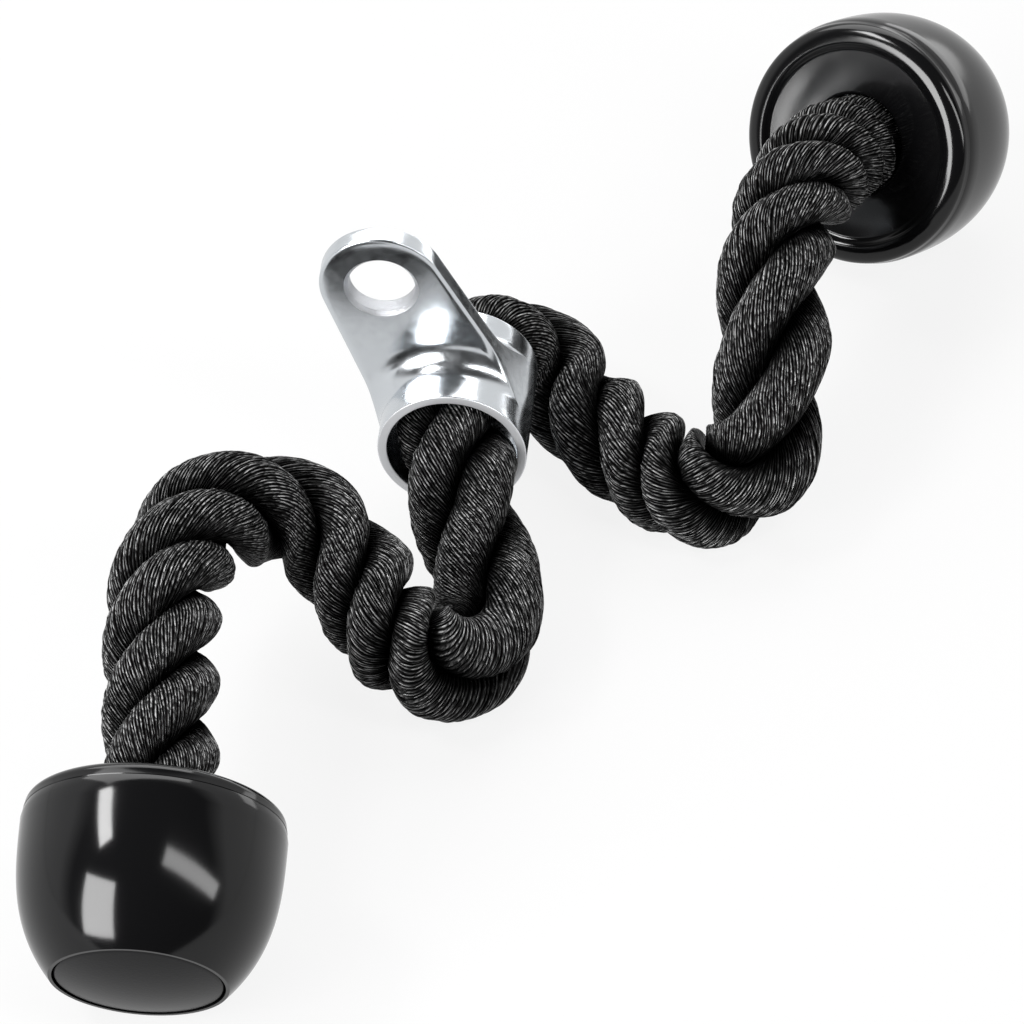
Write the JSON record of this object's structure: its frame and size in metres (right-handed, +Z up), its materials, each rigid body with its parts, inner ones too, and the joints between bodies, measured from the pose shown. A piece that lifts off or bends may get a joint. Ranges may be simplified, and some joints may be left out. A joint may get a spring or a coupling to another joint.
{
  "type": "triceps rope attachment",
  "caption": "Thick laid gym rope drawn through a steel hanging bracket, with a swivelling round stop cap on each end, lying as put down on the floor.",
  "frame": {"origin": "on the floor plane, below the middle of the bounding box of the part as it lies", "axes": "+Z up from the floor; +Y along the lie of the part from the left cap to the right cap and along the barrel's bore; +X to the right when seen from the left cap's end"},
  "size_m": [0.2313, 0.3616, 0.091],
  "materials": {
    "rope": "black laid synthetic yarn with a soft grey sheen",
    "bracket": "polished chrome plating on steel",
    "cap": "glossy near-black moulding",
    "plug": "satin dark grey moulding",
    "stop": "plain zinc-plated steel"
  },
  "bodies": {
    "rope_middle": {"rope_middle": "rope", "left_rope_bend": "rope", "right_rope_bend": "rope"},
    "bracket": {"bracket": "bracket"},
    "left_arm": {"left_rope_arm": "rope", "left_stop_washer": "stop", "left_ferrule": "stop"},
    "right_arm": {"right_rope_arm": "rope", "right_stop_washer": "stop", "right_ferrule": "stop"},
    "left_cap": {"left_cap_shell": "cap", "left_cap_plug": "plug"},
    "right_cap": {"right_cap_shell": "cap", "right_cap_plug": "plug"}
  },
  "joints": [
    {"name": "bracket_turn", "type": "hinge", "parent": "rope_middle", "child": "bracket", "pos_m": [-0.023, 0.0299, 0.032], "axis": [0, 1, 0], "range_deg": [-70, 86]},
    {"name": "left_arm_swing", "type": "hinge", "parent": "rope_middle", "child": "left_arm", "pos_m": [-0.01729, -0.00215, 0.02448], "axis": [0, 0, 1], "range_deg": [-25, 40], "deforming": ["left_rope_bend"]},
    {"name": "right_arm_swing", "type": "hinge", "parent": "rope_middle", "child": "right_arm", "pos_m": [-0.00207, 0.06219, 0.0177], "axis": [0, 0, 1], "range_deg": [-15, 45], "deforming": ["right_rope_bend"]},
    {"name": "left_cap_swivel", "type": "hinge", "parent": "left_arm", "child": "left_cap", "pos_m": [-0.0828, -0.1295, 0.0405], "axis": [0.0032, -0.9272, -0.3746], "continuous": true},
    {"name": "right_cap_swivel", "type": "hinge", "parent": "right_arm", "child": "right_cap", "pos_m": [0.0738, 0.1306, 0.0425], "axis": [0.4164, 0.7832, -0.4618], "continuous": true}
  ]
}
